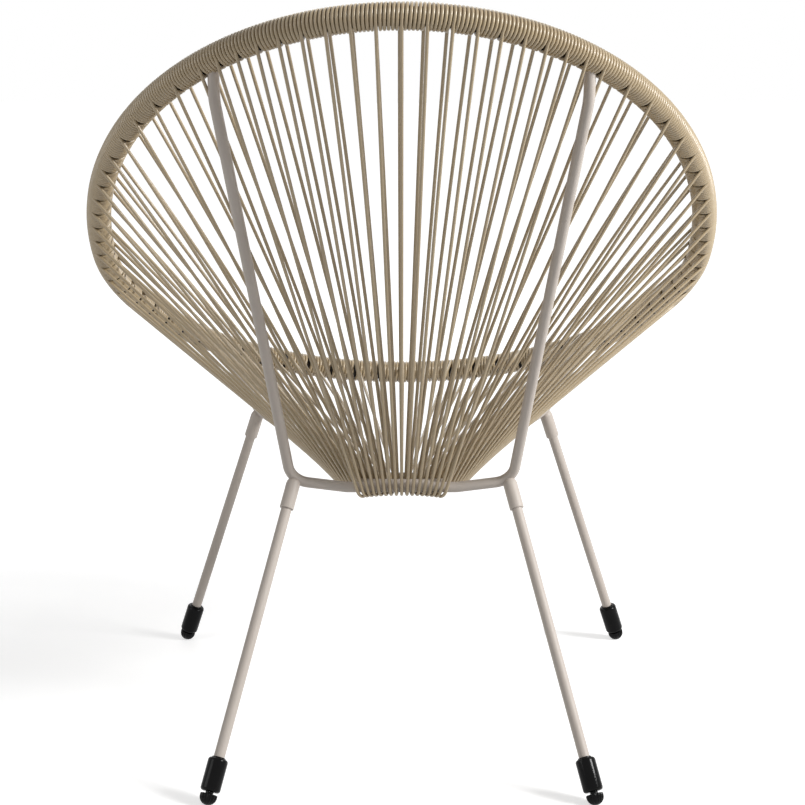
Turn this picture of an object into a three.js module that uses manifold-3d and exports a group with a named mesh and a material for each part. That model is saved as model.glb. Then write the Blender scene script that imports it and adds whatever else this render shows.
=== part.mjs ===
// Acapulco chair, in millimetres.
// The chair faces -Y and stands on the plane Z = 0, with +X at the sitter's left hand.
// A steel hoop leans back from the knees to the shoulders, and a small ring lies under the seat.
// One long cord is wound round the hoop. At every station it leaves the hoop, runs down to the
// ring, turns under it and comes back up, and the two layers of strands are the seat and the back.
// Two bent stays carry the hoop and the ring, and four legs plug into sockets on the stays' bends.

import * as THREE from 'three';
import { mergeVertices } from 'three/addons/utils/BufferGeometryUtils.js';
import Module from 'manifold-3d';

const wasm = await Module();
wasm.setup();

// Cord and clearances, with a strand that a stay presses inwards kept a little further off it
const cordDiameter = 4.1;
const ringCordGap = 0.42;
const seatGap = 0.3;
const pressGap = 0.6;
const panelGap = 0.3;

// The hoop's centreline, an oval in plan with a fuller rear than front
const rimHalfWidth = 351.7;
const rimRearReach = 396;
const rimFrontReach = 262;
const rimRearHeight = 835.6;
const rimFrontHeight = 344.3;
const rimBow = 5.4;
const hoopDiameter = 20;

// The ring under the seat, lower at the front
const ringRodDiameter = 12;
const ringHeight = 288.6;
const ringSetback = 24;
const ringTiltDegrees = 13;

// The bent stays, each an upright, a bend, a bar that touches the ring, and the same mirrored
const stayDiameter = 12;
const stayBendRadius = 25;
const stayTopOffset = 12;
const barCornerRadius = 20;
const rearBarHalfLength = 62;
const rearBendHalfSpan = 125;
const rearBendRise = 8;
const frontBarHalfLength = 54;
const frontBendHalfSpan = 182;
const frontBendSetback = -211;
const frontBendHeight = 320;

// The legs, from the stays' bends to the floor
const legDiameter = 12;
const legWall = 1.2;
const legTopClearance = 2;
const socketDiameter = 16;
const socketLength = 38;
const rearFootHalfSpan = 207.7;
const rearFootSetback = 282;
const frontFootHalfSpan = 283.6;
const frontFootSetback = -245;

// The black ferrule over the end of each leg
const capDiameter = 22;
const capLength = 38;
const capFloor = 3;
const capRound = 3.4;
const capLipWidth = 1.8;
const capLipHeight = 1.2;

// The screw-in levelling foot
const footDiameter = 19;
const footSkirt = 2.5;
const footFlatDepth = 0.5;
const footFluteDepth = 0.7;
const footBoreDepth = 5;
const footNeckDiameter = 8.6;
const footNeckClearance = 0.4;
const rearLevellerGap = 2.5;
const frontLevellerGap = 1.2;
const studDiameter = 6;
const studSpare = 3;
const nutLength = 15;
const nutFlange = 1.5;
const cutOverrun = 20;

// Facets
const hoopSides = 8;
const rodSides = 10;
const ringSides = 8;
const turnSteps = 4;
const bendSteps = 4;
const latheSteps = 16;
const fluteCount = 12;
const domeSteps = 4;
const arcSteps = 2;
const rimDivisions = 720;
const gapDivisions = 100;

// Turns of cord between neighbouring stations, from the middle of the rear to the middle of the front
const turnGroups = [
  { spaces: 9, turns: 6 },
  { spaces: 5, turns: 10 },
  { spaces: 24, turns: 8 },
];

// Stations in each panel of webbing, from the sitter's right rear stay round to it again
const panelGroups = [
  { name: 'cord_back', stations: [6, 5, 6] },
  { name: 'cord_left', stations: [5, 6, 6, 5] },
  { name: 'cord_front', stations: [5, 5, 5] },
  { name: 'cord_right', stations: [5, 6, 6, 5] },
];

// Sizes that follow
const rimDepth = rimRearReach + rimFrontReach;
const rimRearSetback = rimDepth / 2;
const rimWidestSetback = rimRearSetback - rimRearReach;
const cordSide = (cordDiameter * Math.sqrt(Math.PI)) / 2;
const wrapRadius = hoopDiameter / 2 + seatGap + cordDiameter / 2;
const wrappedRadius = wrapRadius + cordDiameter / 2;
const loopRadius = ringRodDiameter / 2 + seatGap + cordDiameter / 2;
const barLoopRadius = stayDiameter / 2 + seatGap + cordDiameter / 2;
const rodContact = (ringRodDiameter + stayDiameter) / 2 + seatGap;
const socketBore = legDiameter + 2 * seatGap;
const nutDiameter = legDiameter - 2 * legWall - 2 * seatGap;
const ringTilt = THREE.MathUtils.degToRad(ringTiltDegrees);

const stationTurns = [0];
for (const group of turnGroups) {
  for (let space = 0; space < group.spaces; space += 1) {
    stationTurns.push(stationTurns.at(-1) + group.turns);
  }
}
const frontStation = stationTurns.length - 1;
const stationCount = 2 * frontStation;
const turnCount = 2 * stationTurns[frontStation];
const rearPanelStations = panelGroups[0].stations.reduce((sum, count) => sum + count);
const sidePanelStations = panelGroups[1].stations.reduce((sum, count) => sum + count);
const rearStayStation = rearPanelStations / 2;
const frontStayStation = rearStayStation + sidePanelStations;

// The loops lie side by side inside the ring, so their number and the cord set its radius
const ringRadius = (stationCount * (cordDiameter + ringCordGap)) / (2 * Math.PI) + loopRadius;

const axisX = new THREE.Vector3(1, 0, 0);
const axisY = new THREE.Vector3(0, 1, 0);

// The hoop's centreline runs from the middle of the rear over +X to the middle of the front and back
class RimCurve extends THREE.Curve {
  getPoint(t, target = new THREE.Vector3()) {
    const angle = 2 * Math.PI * t;
    const reach = Math.cos(angle) > 0 ? rimRearReach : rimFrontReach;
    const setback = rimWidestSetback + reach * Math.cos(angle);
    const share = (rimRearSetback - setback) / rimDepth;
    const chord = THREE.MathUtils.lerp(rimRearHeight, rimFrontHeight, share);
    return target.set(rimHalfWidth * Math.sin(angle), setback, chord + 4 * rimBow * share * (1 - share));
  }
}

// A bent rod keeps only the rings that its bends need
class RodCurve extends THREE.Curve {
  constructor(points) {
    super();
    this.points = points;
  }

  getPoint(t, target = new THREE.Vector3()) {
    const place = t * (this.points.length - 1);
    const from = Math.min(Math.floor(place), this.points.length - 2);
    return target.lerpVectors(this.points[from], this.points[from + 1], place - from);
  }

  getPointAt(u, target) {
    return this.getPoint(u, target);
  }

  getTangentAt(u, target = new THREE.Vector3()) {
    return target.copy(directionAt(this.points, Math.round(u * (this.points.length - 1))));
  }
}

const rim = new RimCurve();
rim.arcLengthDivisions = rimDivisions;

// The direction of a run of points at one of them, halfway between its two neighbouring spans
function directionAt(points, index) {
  const direction = new THREE.Vector3();
  for (const from of [index - 1, index]) {
    if (from >= 0 && from + 1 < points.length) {
      direction.add(points[from + 1].clone().sub(points[from]).normalize());
    }
  }
  return direction.normalize();
}

// The share of the rim at a station, or halfway between two stations for a number that ends in a half
function rimShare(station) {
  const turnsAt = (whole) => {
    const folded = Math.abs(whole) % stationCount;
    if (folded <= frontStation) return Math.sign(whole) * stationTurns[folded];
    return Math.sign(whole) * (turnCount - stationTurns[stationCount - folded]);
  };
  const turns = (turnsAt(Math.floor(station)) + turnsAt(Math.ceil(station))) / 2;
  return THREE.MathUtils.euclideanModulo(turns / turnCount, 1);
}

// The hoop at a station, with the direction down its strand and the side that faces out of the bowl
function stationFrame(station) {
  const share = rimShare(station);
  const at = rim.getPointAt(share);
  const along = rim.getTangentAt(share);
  const direction = ringPlace(station).at.sub(at).normalize();
  return { at, along, direction, outward: outwardOf(along, direction) };
}

// The ring's centreline point and direction for a slot, counted like the stations
function ringPlace(slot) {
  const angle = (2 * Math.PI * slot) / stationCount;
  const rearward = axisY.clone().applyAxisAngle(axisX, ringTilt);
  const centre = new THREE.Vector3(0, ringSetback, ringHeight);
  const spoke = axisX.clone().multiplyScalar(Math.sin(angle)).addScaledVector(rearward, Math.cos(angle));
  const along = axisX.clone().multiplyScalar(Math.cos(angle)).addScaledVector(rearward, -Math.sin(angle));
  return { at: centre.addScaledVector(spoke, ringRadius), along };
}

// A closed body, with its shared corners merged, for joining and cutting
function solid(geometry) {
  const bare = geometry.clone();
  bare.deleteAttribute('normal');
  bare.deleteAttribute('uv');
  const merged = mergeVertices(bare);
  const mesh = new wasm.Mesh({
    numProp: 3,
    vertProperties: merged.attributes.position.array,
    triVerts: Uint32Array.from(merged.index.array),
  });
  return new wasm.Manifold(mesh);
}

function geometryOf(body) {
  const mesh = body.getMesh();
  const geometry = new THREE.BufferGeometry();
  geometry.setAttribute('position', new THREE.BufferAttribute(mesh.vertProperties, 3));
  geometry.setIndex(new THREE.BufferAttribute(mesh.triVerts, 1));
  geometry.computeVertexNormals();
  return geometry;
}

// A skin over rings of points, closed by a fan over each end, or endless like a hoop
function skin(rings, endless = false) {
  const sides = rings[0].length;
  const index = [];
  const spans = endless ? rings.length : rings.length - 1;
  for (let span = 0; span < spans; span += 1) {
    const near = span * sides;
    const far = ((span + 1) % rings.length) * sides;
    for (let side = 0; side < sides; side += 1) {
      const next = (side + 1) % sides;
      index.push(near + side, near + next, far + side);
      index.push(near + next, far + next, far + side);
    }
  }
  if (!endless) {
    const last = (rings.length - 1) * sides;
    for (let side = 1; side + 1 < sides; side += 1) {
      index.push(0, side + 1, side);
      index.push(last, last + side, last + side + 1);
    }
  }
  const geometry = new THREE.BufferGeometry();
  const positions = rings.flat().flatMap((point) => point.toArray());
  geometry.setAttribute('position', new THREE.Float32BufferAttribute(positions, 3));
  geometry.setIndex(index);
  geometry.computeVertexNormals();
  return geometry;
}

// The ring of the hoop's section at a station, with its first corner on the strands' outer side
function hoopRing(station, radius, shift = 0) {
  const { at, along, outward } = stationFrame(station);
  const centre = at.clone().addScaledVector(along, shift);
  return Array.from({ length: hoopSides }, (_, corner) => {
    const spoke = outward.clone().applyAxisAngle(along, (2 * Math.PI * corner) / hoopSides);
    return centre.clone().addScaledVector(spoke, radius);
  });
}

// The radius of a polygon's corners when its flats lie at a radius
function cornerRadius(flatRadius, sides) {
  return flatRadius / Math.cos(Math.PI / sides);
}

// Panels of webbing, each a run of stations with its two ends halfway to the next stations
const panels = [];
let firstStation = 0.5 - rearStayStation;
for (const group of panelGroups) {
  group.stations.forEach((count, index) => {
    const stations = Array.from({ length: count }, (_, step) => firstStation + step);
    panels.push({ name: `${group.name}_${index + 1}`, stations });
    firstStation += count;
  });
}

// The hoop, with a ring of corners at every station and at every end of a panel
const hoopStations = panels.flatMap((panel) => [panel.stations[0] - 0.5, ...panel.stations]);

function hoopGeometry(radius) {
  return skin(hoopStations.map((station) => hoopRing(station, radius)), true);
}

// A route through corners, each rounded by an arc
function roundedRoute(corners) {
  const points = [corners[0].at];
  for (let index = 1; index + 1 < corners.length; index += 1) {
    const { at, radius } = corners[index];
    const before = corners[index - 1].at.clone().sub(at).normalize();
    const after = corners[index + 1].at.clone().sub(at).normalize();
    const turn = Math.PI - before.angleTo(after);
    const middle = before.clone().add(after).normalize();
    const centre = at.clone().addScaledVector(middle, radius / Math.cos(turn / 2));
    const axis = after.clone().cross(before).normalize();
    for (let step = 0; step <= bendSteps; step += 1) {
      const angle = turn * (step / bendSteps - 1 / 2);
      const spoke = middle.clone().negate().applyAxisAngle(axis, angle);
      points.push(centre.clone().addScaledVector(spoke, radius));
    }
  }
  points.push(corners.at(-1).at);
  return points;
}

function mirrored(point) {
  return new THREE.Vector3(-point.x, point.y, point.z);
}

function rodGeometry(points, radius) {
  const section = new THREE.Shape();
  section.absarc(0, 0, radius, 0, 2 * Math.PI);
  return new THREE.ExtrudeGeometry(section, {
    extrudePath: new RodCurve(points),
    steps: points.length - 1,
    curveSegments: rodSides / 2,
    bevelEnabled: false,
  });
}

// The outward side of a strand or rod that leaves the hoop or the ring in a direction
function outwardOf(along, direction) {
  return along.clone().cross(direction).normalize();
}

// A stay from the hoop to its bend, along its bar past the ring, and mirrored up to the hoop again
function makeStay(station, bend, barEnd) {
  const { at, along } = stationFrame(station);
  const direction = bend.clone().sub(at).normalize();
  const top = at.clone().addScaledVector(outwardOf(along, direction), stayTopOffset);
  const half = [
    { at: top },
    { at: bend, radius: stayBendRadius },
    { at: barEnd, radius: barCornerRadius },
  ];
  const other = half.map((corner) => ({ ...corner, at: mirrored(corner.at) })).reverse();
  const route = roundedRoute([...half, ...other]);
  const bendMiddle = route[1 + bendSteps / 2];
  return { corners: half.map((corner) => corner.at), route, bendMiddle };
}

const ringRear = ringPlace(0).at;
const ringFront = ringPlace(frontStation).at;
const rearBarEnd = new THREE.Vector3(rearBarHalfLength, ringRear.y + rodContact, ringRear.z);
const frontBarEnd = new THREE.Vector3(frontBarHalfLength, ringFront.y - rodContact, ringFront.z);
const rearBend = new THREE.Vector3(rearBendHalfSpan, rearBarEnd.y, rearBarEnd.z + rearBendRise);
const frontBend = new THREE.Vector3(frontBendHalfSpan, frontBendSetback, frontBendHeight);
const rearStay = makeStay(rearStayStation, rearBend, rearBarEnd);
const frontStay = makeStay(frontStayStation, frontBend, frontBarEnd);
const stays = [rearStay, frontStay];

// The gap at the corners of a polygon when its flats keep the clearance of seated pieces
const hoopCornerGap = cornerRadius(seatGap, hoopSides);
const hoopClearance = solid(hoopGeometry(hoopDiameter / 2 + hoopCornerGap));

function stayGeometry(stay) {
  return geometryOf(solid(rodGeometry(stay.route, stayDiameter / 2)).subtract(hoopClearance));
}

// The space that a stay needs, a little wider and longer than the stay
function stayClearance({ route }) {
  const longer = [...route];
  longer[0] = route[0].clone().addScaledVector(directionAt(route, 0), -seatGap);
  longer[route.length - 1] = mirrored(longer[0]);
  return solid(rodGeometry(longer, cornerRadius(stayDiameter / 2 + seatGap, rodSides)));
}

const stayClearances = stays.map(stayClearance);

// The corners of a turn round a rod, from one spoke to another, with its straights touching the radius
function turnPoints(centre, along, from, to, count, radius) {
  const angle = from.angleTo(to);
  const step = angle / count;
  return Array.from({ length: count }, (_, corner) => {
    const spoke = from.clone().applyAxisAngle(along, -step * (corner + 1 / 2));
    return centre.clone().addScaledVector(spoke, radius / Math.cos(step / 2));
  });
}

// Where a strand would run into a stay, the stay presses it inwards
function pressedPoints(start, end, outward) {
  const strand = end.clone().sub(start);
  const reach = barLoopRadius + pressGap;
  const presses = [];
  for (const { corners } of stays) {
    for (const side of [corners, corners.map(mirrored)]) {
      for (let index = 0; index + 1 < side.length; index += 1) {
        const rod = side[index + 1].clone().sub(side[index]);
        const offset = start.clone().sub(side[index]);
        const cross = strand.clone().cross(rod);
        const size = cross.lengthSq();
        const onStrand = rod.clone().cross(offset).dot(cross) / size;
        const onRod = strand.clone().cross(offset).dot(cross) / size;
        if (onStrand > 0 && onStrand < 1 && onRod > 0 && onRod < 1) {
          const inward = cross.normalize().multiplyScalar(-Math.sign(cross.dot(outward)));
          const place = start.clone().addScaledVector(strand, onStrand);
          const nearest = side[index].clone().addScaledVector(rod, onRod);
          const distance = place.clone().sub(nearest).dot(inward);
          if (distance < reach) {
            presses.push({ onStrand, at: place.addScaledVector(inward, reach - distance) });
          }
        }
      }
    }
  }
  return presses.sort((one, other) => one.onStrand - other.onStrand).map((press) => press.at);
}

// The places where a strand bends, from its outer layer round the ring to its inner layer
function strandBends(station) {
  const hoop = stationFrame(station);
  const ring = ringPlace(station);
  const ringOutward = outwardOf(ring.along, hoop.direction);
  const ringInward = ringOutward.clone().negate();
  const fromRear = Math.abs(station);
  const fromFront = Math.abs(station - frontStation);
  if (fromRear < rearStayStation || fromFront < frontStation - frontStayStation) {
    const barEnd = fromRear < rearStayStation ? rearBarEnd : frontBarEnd;
    const spread = (ringRadius + barLoopRadius) / ringRadius;
    const bar = new THREE.Vector3(ring.at.x * spread, barEnd.y, barEnd.z);
    const under = outwardOf(ring.along, ring.at.clone().sub(bar));
    const barOutward = outwardOf(ring.along, bar.clone().sub(hoop.at));
    const barRadius = barLoopRadius / Math.abs(ring.along.x);
    return [
      ...turnPoints(bar, ring.along, barOutward, under, turnSteps / 2, barRadius),
      ...turnPoints(ring.at, ring.along, under, ringInward, turnSteps - 1, loopRadius),
    ];
  }
  const start = hoop.at.clone().addScaledVector(hoop.outward, wrapRadius);
  const end = ring.at.clone().addScaledVector(ringOutward, loopRadius);
  return [
    ...pressedPoints(start, end, hoop.outward),
    ...turnPoints(ring.at, ring.along, ringOutward, ringInward, turnSteps, loopRadius),
  ];
}

// A square section of the cord with the round one's area, from the side near the rod it bends on
function cordSection(at, direction, across) {
  const half = cordSide / 2;
  const outer = across.clone().cross(direction).normalize().multiplyScalar(half);
  const side = direction.clone().cross(outer).normalize().multiplyScalar(half);
  return [
    at.clone().sub(outer).sub(side),
    at.clone().add(outer).sub(side),
    at.clone().add(outer).add(side),
    at.clone().sub(outer).add(side),
  ];
}

// The least gap between a strand and the next, from points along the one to the spans of the other
function neighbourGap(station) {
  const [one, other] = [station, station + 1].map((each) => {
    const { at, outward } = stationFrame(each);
    const inner = at.clone().addScaledVector(outward, -wrapRadius);
    return [at.clone().addScaledVector(outward, wrapRadius), ...strandBends(each), inner];
  });
  const nearest = new THREE.Vector3();
  let least = Infinity;
  for (let span = 0; span + 1 < one.length; span += 1) {
    for (let step = 0; step <= gapDivisions; step += 1) {
      const point = one[span].clone().lerp(one[span + 1], step / gapDivisions);
      for (let place = 0; place + 1 < other.length; place += 1) {
        new THREE.Line3(other[place], other[place + 1]).closestPointToPoint(point, true, nearest);
        least = Math.min(least, point.distanceTo(nearest) - cordSide);
      }
    }
  }
  return least;
}

// A mesh that is put together ring by ring
class RingMesh {
  constructor() {
    this.points = [];
    this.index = [];
  }

  ring(points) {
    const first = this.points.length;
    this.points.push(...points);
    return points.map((_, corner) => first + corner);
  }

  // Faces between two rings, all round or without the sides named in skip
  band(near, far, skip = []) {
    near.forEach((corner, side) => {
      if (skip.includes(side)) return;
      const next = (side + 1) % near.length;
      this.index.push(corner, near[next], far[side]);
      this.index.push(near[next], far[next], far[side]);
    });
  }

  geometry() {
    const geometry = new THREE.BufferGeometry();
    const positions = this.points.flatMap((point) => point.toArray());
    geometry.setAttribute('position', new THREE.Float32BufferAttribute(positions, 3));
    geometry.setIndex(this.index);
    geometry.computeVertexNormals();
    return geometry;
  }
}

// One panel of webbing: the turns round the hoop as a sleeve with a strand out of and into each station
function webbingGeometry(stations) {
  const mesh = new RingMesh();
  const outerRadius = cornerRadius(wrappedRadius, hoopSides);
  const coreRadius = hoopDiameter / 2 + hoopCornerGap;
  const outerSide = hoopSides - 1;
  const innerSide = hoopSides / 2;
  const ends = [stations[0] - 0.5, stations.at(-1) + 0.5];
  const outerFirst = mesh.ring(hoopRing(ends[0], outerRadius, panelGap / 2));
  const coreFirst = mesh.ring(hoopRing(ends[0], coreRadius, panelGap / 2));
  mesh.band(coreFirst, outerFirst);
  let outer = outerFirst;
  let core = coreFirst;
  for (const station of stations) {
    const near = mesh.ring(hoopRing(station, outerRadius, -cordDiameter / 2));
    const far = mesh.ring(hoopRing(station, outerRadius, cordDiameter / 2));
    const coreNext = mesh.ring(hoopRing(station, coreRadius));
    mesh.band(outer, near);
    mesh.band(near, far, [outerSide, innerSide]);
    mesh.band(coreNext, core);
    outer = far;
    core = coreNext;
    const bends = strandBends(station);
    const ringAlong = ringPlace(station).along;
    let section = [near[outerSide], near[0], far[0], far[outerSide]];
    bends.forEach((at, place) => {
      const next = mesh.ring(cordSection(at, directionAt(bends, place), ringAlong));
      mesh.band(section, next);
      section = next;
    });
    mesh.band(section, [near[innerSide + 1], near[innerSide], far[innerSide], far[innerSide + 1]]);
  }
  const outerLast = mesh.ring(hoopRing(ends[1], outerRadius, -panelGap / 2));
  const coreLast = mesh.ring(hoopRing(ends[1], coreRadius, -panelGap / 2));
  mesh.band(outer, outerLast);
  mesh.band(coreLast, core);
  mesh.band(outerLast, coreLast);
  return mesh.geometry();
}

function panelGeometry({ stations }) {
  let body = solid(webbingGeometry(stations));
  for (const clearance of stayClearances) body = body.subtract(clearance);
  return geometryOf(body);
}

// Finishes
function finish(color, roughness, metalness) {
  return new THREE.MeshStandardMaterial({ color, roughness, metalness });
}

const paintedSteel = () => finish(0xb5ada2, 0.45, 0.2);
const cordPlastic = () => finish(0xa5967d, 0.5, 0);
const blackPlastic = () => finish(0x101010, 0.25, 0);
const zincSteel = () => finish(0xb8bcc0, 0.35, 1);

function named(name, geometry, material) {
  const mesh = new THREE.Mesh(geometry, material);
  mesh.name = name;
  return mesh;
}

// A turned piece round its own Y axis, from a closed outline
function turned(outline) {
  const points = outline.getPoints(arcSteps);
  return new THREE.LatheGeometry(points, latheSteps);
}

function tubeOutline(innerRadius, outerRadius, bottom, top) {
  const outline = new THREE.Path();
  outline.moveTo(innerRadius, bottom);
  outline.lineTo(outerRadius, bottom);
  outline.lineTo(outerRadius, top);
  outline.lineTo(innerRadius, top);
  outline.lineTo(innerRadius, bottom);
  return outline;
}

function capGeometry(bottom) {
  const radius = capDiameter / 2;
  const bore = socketBore / 2;
  const hole = footNeckDiameter / 2 + footNeckClearance;
  const top = bottom + capLength;
  const outline = new THREE.Path();
  outline.moveTo(hole, bottom);
  outline.lineTo(radius - capRound, bottom);
  outline.absarc(radius - capRound, bottom + capRound, capRound, -Math.PI / 2, 0);
  outline.lineTo(radius, top - capLipHeight - capRound);
  outline.absarc(radius - capRound, top - capLipHeight - capRound, capRound, 0, Math.PI / 2);
  outline.lineTo(bore + capLipWidth, top - capLipHeight);
  outline.lineTo(bore + capLipWidth, top);
  outline.lineTo(bore, top);
  outline.lineTo(bore, bottom + capFloor);
  outline.lineTo(hole, bottom + capFloor);
  outline.lineTo(hole, bottom);
  return turned(outline);
}

function nutGeometry(bottom) {
  const hole = studDiameter / 2 + seatGap;
  const outline = new THREE.Path();
  outline.moveTo(hole, bottom);
  outline.lineTo(legDiameter / 2, bottom);
  outline.lineTo(legDiameter / 2, bottom + nutFlange);
  outline.lineTo(nutDiameter / 2, bottom + nutFlange);
  outline.lineTo(nutDiameter / 2, bottom + nutFlange + nutLength);
  outline.lineTo(hole, bottom + nutFlange + nutLength);
  outline.lineTo(hole, bottom);
  return turned(outline);
}

function pinGeometry(radius, bottom, top) {
  const pin = new THREE.CylinderGeometry(radius, radius, top - bottom, rodSides);
  return pin.translate(0, (top + bottom) / 2, 0);
}

// The fluted dome of a levelling foot, with its centre at the origin and flat where it meets the floor
function footGeometry(levellerGap, toLeg) {
  const radius = footDiameter / 2;
  const rings = [];
  const ringAt = (height, size) => Array.from({ length: 2 * fluteCount }, (_, column) => {
    const angle = (Math.PI * column) / fluteCount;
    const reach = size - (column % 2 === 0 ? 0 : (footFluteDepth * size) / radius);
    return new THREE.Vector3(reach * Math.sin(angle), height, reach * Math.cos(angle));
  });
  for (let step = 1; step <= domeSteps; step += 1) {
    const angle = (Math.PI / 2) * (step / domeSteps);
    rings.push(ringAt(-radius * Math.cos(angle), radius * Math.sin(angle)));
  }
  rings.push(ringAt(footSkirt, radius));
  const bore = pinGeometry(studDiameter / 2 + seatGap, -footBoreDepth, cutOverrun);
  const neck = pinGeometry(footNeckDiameter / 2, 0, footSkirt + levellerGap);
  const floor = new THREE.BoxGeometry(footDiameter, footDiameter, cutOverrun);
  floor.translate(0, 0, -cutOverrun / 2).applyMatrix4(toLeg);
  const dome = solid(skin(rings)).add(solid(neck)).subtract(solid(bore)).subtract(solid(floor));
  return geometryOf(dome);
}

function socketGeometry(length, clearance, toLeg) {
  const tube = turned(tubeOutline(socketBore / 2, socketDiameter / 2, length - socketLength, length));
  const saddle = solid(geometryOf(clearance).applyMatrix4(toLeg));
  return geometryOf(solid(tube).subtract(saddle));
}

// A leg and what it carries, in a group whose Y axis runs from the foot's centre up to the stay
function makeLeg(place, foot, bend, clearance, levellerGap) {
  const leg = new THREE.Group();
  const along = bend.clone().sub(foot);
  const length = along.length();
  leg.position.copy(foot);
  leg.quaternion.setFromUnitVectors(axisY, along.normalize());
  leg.updateMatrix();
  const toLeg = leg.matrix.clone().invert();
  const floorToLeg = toLeg.clone().multiply(new THREE.Matrix4().makeTranslation(foot.x, foot.y, 0));
  const capBottom = footSkirt + levellerGap;
  const nutBottom = capBottom + capFloor + seatGap;
  const legBottom = nutBottom + nutFlange + seatGap;
  const legTop = length - stayDiameter / 2 - legTopClearance;
  const legTube = tubeOutline(legDiameter / 2 - legWall, legDiameter / 2, legBottom, legTop);
  const studTop = nutBottom + nutFlange + nutLength + studSpare;
  const stud = pinGeometry(studDiameter / 2, seatGap - footBoreDepth, studTop);
  leg.add(
    named(`leg_socket_${place}`, socketGeometry(length, clearance, toLeg), paintedSteel()),
    named(`leg_${place}`, turned(legTube), paintedSteel()),
    named(`foot_cap_${place}`, capGeometry(capBottom), blackPlastic()),
    named(`thread_insert_${place}`, nutGeometry(nutBottom), zincSteel()),
    named(`leveller_stud_${place}`, stud, zincSteel()),
    named(`leveller_foot_${place}`, footGeometry(levellerGap, floorToLeg), blackPlastic()),
  );
  return leg;
}

// The chair
const chair = new THREE.Group();
chair.add(named('rim_hoop', hoopGeometry(hoopDiameter / 2), paintedSteel()));

const seatRing = named(
  'seat_ring',
  new THREE.TorusGeometry(ringRadius, ringRodDiameter / 2, ringSides, frontStation),
  paintedSteel(),
);
seatRing.position.set(0, ringSetback, ringHeight);
seatRing.rotation.set(ringTilt, 0, Math.PI / 2, 'XYZ');
chair.add(seatRing);

chair.add(named('rear_stay', stayGeometry(rearStay), paintedSteel()));
chair.add(named('front_stay', stayGeometry(frontStay), paintedSteel()));

const footHeight = footDiameter / 2 - footFlatDepth;
const feet = [
  { row: 'rear', stay: 0, foot: [rearFootHalfSpan, rearFootSetback], levellerGap: rearLevellerGap },
  { row: 'front', stay: 1, foot: [frontFootHalfSpan, frontFootSetback], levellerGap: frontLevellerGap },
];
for (const { row, stay, foot, levellerGap } of feet) {
  const clearance = stayClearances[stay];
  const leftFoot = new THREE.Vector3(...foot, footHeight);
  const leftBend = stays[stay].bendMiddle;
  chair.add(makeLeg(`${row}_left`, leftFoot, leftBend, clearance, levellerGap));
  const rightFoot = mirrored(leftFoot);
  chair.add(makeLeg(`${row}_right`, rightFoot, mirrored(leftBend), clearance, levellerGap));
}

for (const panel of panels) {
  chair.add(named(panel.name, panelGeometry(panel), cordPlastic()));
}

const strandGaps = Array.from({ length: stationCount }, (_, station) => neighbourGap(station));
console.log(`least gap between neighbouring strands of cord: ${Math.min(...strandGaps).toFixed(2)} mm`);

export default chair;
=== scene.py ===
# %% [markdown]
# # An acapulco chair
# The chair is a steel hoop that leans back, a small ring under the seat, two bent stays that hold
# both, four splayed legs, and one long cord that is wound round the hoop and strung to the ring.
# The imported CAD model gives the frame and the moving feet. This lesson dresses it: each visible
# piece gets round, smooth geometry made from the same measured sizes, and a material of its own.
# Lengths are written in millimetres, as a maker reads them, and turned into metres in one place.

# %% Load the frame
import bpy
import numpy as np
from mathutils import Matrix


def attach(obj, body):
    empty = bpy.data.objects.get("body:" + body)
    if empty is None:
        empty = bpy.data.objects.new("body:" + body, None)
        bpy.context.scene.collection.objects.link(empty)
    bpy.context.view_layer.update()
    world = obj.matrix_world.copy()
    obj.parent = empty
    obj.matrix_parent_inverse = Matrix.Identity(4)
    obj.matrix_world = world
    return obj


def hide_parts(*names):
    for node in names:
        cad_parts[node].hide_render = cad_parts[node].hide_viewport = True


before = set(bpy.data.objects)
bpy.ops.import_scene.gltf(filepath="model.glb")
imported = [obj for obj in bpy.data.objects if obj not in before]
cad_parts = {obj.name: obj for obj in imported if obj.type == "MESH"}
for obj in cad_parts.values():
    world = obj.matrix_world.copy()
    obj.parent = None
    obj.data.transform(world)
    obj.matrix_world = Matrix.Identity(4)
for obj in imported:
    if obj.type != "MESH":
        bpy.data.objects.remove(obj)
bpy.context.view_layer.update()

# %% [markdown]
# ## Cord and steel
# A size that is written in many places is hard to change, so each has one name. The cord and the
# two thicknesses of steel come first, because every other piece is fitted to them. The sizes of
# one piece stand in the cell that makes it. Those that place or fit a piece are the solid model's.

# %% Sizes that every piece shares
cord_diameter, hoop_diameter, rod_diameter = 4.1, 20.0, 12.0
# the gap under a cord that lies on a rod, under one that leans on it, and between two on the ring
seat_gap, press_gap, ring_cord_gap = 0.3, 0.6, 0.42
wrap_radius = hoop_diameter / 2 + seat_gap + cord_diameter / 2
loop_radius = rod_diameter / 2 + seat_gap + cord_diameter / 2
print("the cord's centre runs", round(wrap_radius, 2), "mm from the middle of the hoop")

# %% [markdown]
# ## Winding plan
# The cord makes a set number of turns round the hoop, drops to the ring and comes back, all the
# way round. A drop is called a station. Counting in turns, not in degrees, keeps the turns side by
# side, because one turn always uses up the same length of hoop. The plan is written from the
# middle of the back to the middle of the front, and the other half mirrors it.

# %% Count the stations and the turns
# how many stations in a row, and the turns from one of them to the next
turn_groups = [(9, 6), (5, 10), (24, 8)]
# the solid model's panels: how many stations each of them holds
panel_groups = [("cord_back", [6, 5, 6]), ("cord_left", [5, 6, 6, 5]),
                ("cord_front", [5, 5, 5]), ("cord_right", [5, 6, 6, 5])]
stations_in_group, turns_in_group = zip(*turn_groups)
half_turns = np.concatenate([[0], np.cumsum(np.repeat(turns_in_group, stations_in_group))])
turn_count = 2 * half_turns[-1]
turns_at = np.concatenate([half_turns, turn_count - half_turns[-2::-1]])
station_count = len(turns_at) - 1
# the stays meet the hoop between the back and the side panels, and the side and the front ones
rear_stay_station = sum(panel_groups[0][1]) / 2
front_stay_station = rear_stay_station + sum(panel_groups[1][1])
print(station_count, "stations and", turn_count, "turns of cord")


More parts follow.
